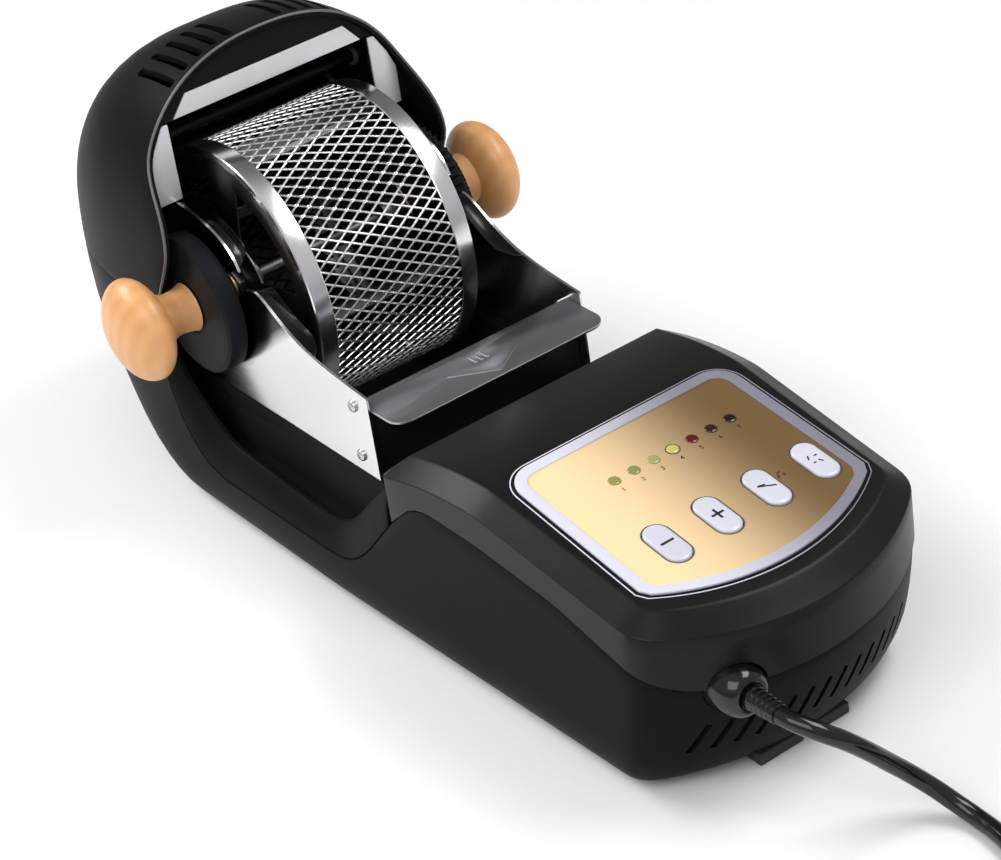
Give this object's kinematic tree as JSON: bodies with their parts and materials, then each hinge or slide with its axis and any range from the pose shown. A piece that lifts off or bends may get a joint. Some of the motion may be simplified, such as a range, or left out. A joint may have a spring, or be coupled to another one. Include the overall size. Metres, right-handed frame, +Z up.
{
  "type": "coffee bean roaster",
  "caption": "Countertop drum roaster for coffee beans: a fixed domed hood, a lift-out mesh drum with turned wooden end knobs, and a sloping deck with touch buttons and roast lamps.",
  "frame": {"origin": "centre of the footprint at floor level, free cord left out", "axes": "+X to the user's right along the drum shaft, +Y to the hood at the rear, +Z up"},
  "size_m": [0.245, 0.7785, 0.2474],
  "materials": {
    "shell_black": "fine matte moulding",
    "cover_black": "satin moulding",
    "inner_black": "matte moulding",
    "chamber_steel": "bright rolled sheet",
    "dull_steel": "heat-dulled sheet",
    "mesh_steel": "expanded mesh",
    "bright_steel": "polished",
    "dark_steel": "black heat-proof coat",
    "heater_sheath": "heat-tinted sheath",
    "ceramic": "glazed ceramic",
    "bush_brass": "turned",
    "disc_grey": "satin grey coat",
    "gear_black": "moulded gear",
    "gear_cream": "moulded gear",
    "knob_wood": "oiled turned wood",
    "motor_steel": "plated can",
    "fascia_gold": "gold sheet under gloss",
    "bezel_silver": "satin silver",
    "button_white": "smooth",
    "lamp_lens": "tinted lens",
    "board_green": "varnished",
    "board_brown": "paper board",
    "part_blue": "component cases",
    "switch_black": "moulded",
    "cord_black": "glossy sheath",
    "tie_black": "woven strap",
    "foot_rubber": "soft rubber",
    "screw_steel": "plated"
  },
  "bodies": {
    "housing": {"base_shell": "shell_black", "rear_hood": "shell_black", "front_cover": "cover_black", "side_rails": "shell_black", "bay_partitions": "inner_black", "mouth_face": "inner_black", "mouth_flanges": "chamber_steel", "chamber_wall": "dull_steel", "left_side_plate": "chamber_steel", "right_side_plate": "chamber_steel", "front_plate": "chamber_steel", "chamber_screws": "screw_steel", "chamber_cradle": "inner_black", "chaff_tray": "dull_steel", "heater_rods": "heater_sheath", "heater_insulators": "ceramic", "thermal_cutout": "motor_steel", "idler_axle": "screw_steel", "gear_motor": "motor_steel", "motor_bracket": "dull_steel", "fascia": "fascia_gold", "bezel": "bezel_silver", "level_lamps": "lamp_lens", "control_board": "board_green", "key_switches": "switch_black", "board_posts": "inner_black", "power_board": "board_brown", "power_parts": "part_blue", "fan_frame": "inner_black", "cord_gland": "cord_black", "strain_relief": "cord_black", "power_cord": "cord_black", "cord_coil": "cord_black", "cord_tie": "tie_black", "plug_body": "cord_black", "plug_pins": "bright_steel", "front_foot": "foot_rubber", "rubber_feet": "foot_rubber", "base_screws": "screw_steel"},
    "basket": {"shaft_bushes": "bush_brass"},
    "drum": {"drum_mesh": "mesh_steel", "left_rim": "bright_steel", "right_rim": "bright_steel", "left_end_plate": "dark_steel", "right_end_plate": "dark_steel", "drum_vanes": "chamber_steel", "drum_shaft": "bright_steel", "left_disc": "disc_grey", "drum_gear": "gear_black", "left_knob": "knob_wood", "right_knob": "knob_wood", "knob_nuts": "screw_steel"},
    "idler": {"idler_gear": "gear_cream"},
    "pinion": {"motor_pinion": "bush_brass"},
    "fan": {"fan_rotor": "gear_black"},
    "minus_button_cap": {"minus_button": "button_white"},
    "plus_button_cap": {"plus_button": "button_white"},
    "level_button_cap": {"level_button": "button_white"},
    "start_button_cap": {"start_button": "button_white"}
  },
  "joints": [
    {"name": "basket_lift", "type": "slide", "parent": "housing", "child": "basket", "axis": [0, -0.8192, 0.5736], "range_m": [0, 0.16]},
    {"name": "drum_spin", "type": "hinge", "parent": "basket", "child": "drum", "pos_m": [0, 0.113, 0.126], "axis": [1, 0, 0], "continuous": true},
    {"name": "idler_spin", "type": "hinge", "parent": "housing", "child": "idler", "pos_m": [0.0714, 0.11836, 0.06473], "axis": [1, 0, 0], "continuous": true},
    {"name": "pinion_spin", "type": "hinge", "parent": "housing", "child": "pinion", "pos_m": [0.0714, 0.12766, 0.03229], "axis": [1, 0, 0], "continuous": true},
    {"name": "fan_spin", "type": "hinge", "parent": "housing", "child": "fan", "pos_m": [0.02, -0.221, 0.029], "axis": [0, 1, 0], "continuous": true},
    {"name": "minus_press", "type": "slide", "parent": "housing", "child": "minus_button_cap", "axis": [0, 0.1564, -0.9877], "range_m": [0, 0.001], "stiffness_N_per_m": 300, "springref_m": -0.0008},
    {"name": "plus_press", "type": "slide", "parent": "housing", "child": "plus_button_cap", "axis": [0, 0.1564, -0.9877], "range_m": [0, 0.001], "stiffness_N_per_m": 300, "springref_m": -0.0008},
    {"name": "level_press", "type": "slide", "parent": "housing", "child": "level_button_cap", "axis": [0, 0.1564, -0.9877], "range_m": [0, 0.001], "stiffness_N_per_m": 300, "springref_m": -0.0008},
    {"name": "start_press", "type": "slide", "parent": "housing", "child": "start_button_cap", "axis": [0, 0.1564, -0.9877], "range_m": [0, 0.001], "stiffness_N_per_m": 300, "springref_m": -0.0008}
  ],
  "couplings": [
    {"joint": "idler_spin", "follows": "drum_spin", "ratio": -1.7333},
    {"joint": "pinion_spin", "follows": "drum_spin", "ratio": 3.4667}
  ]
}
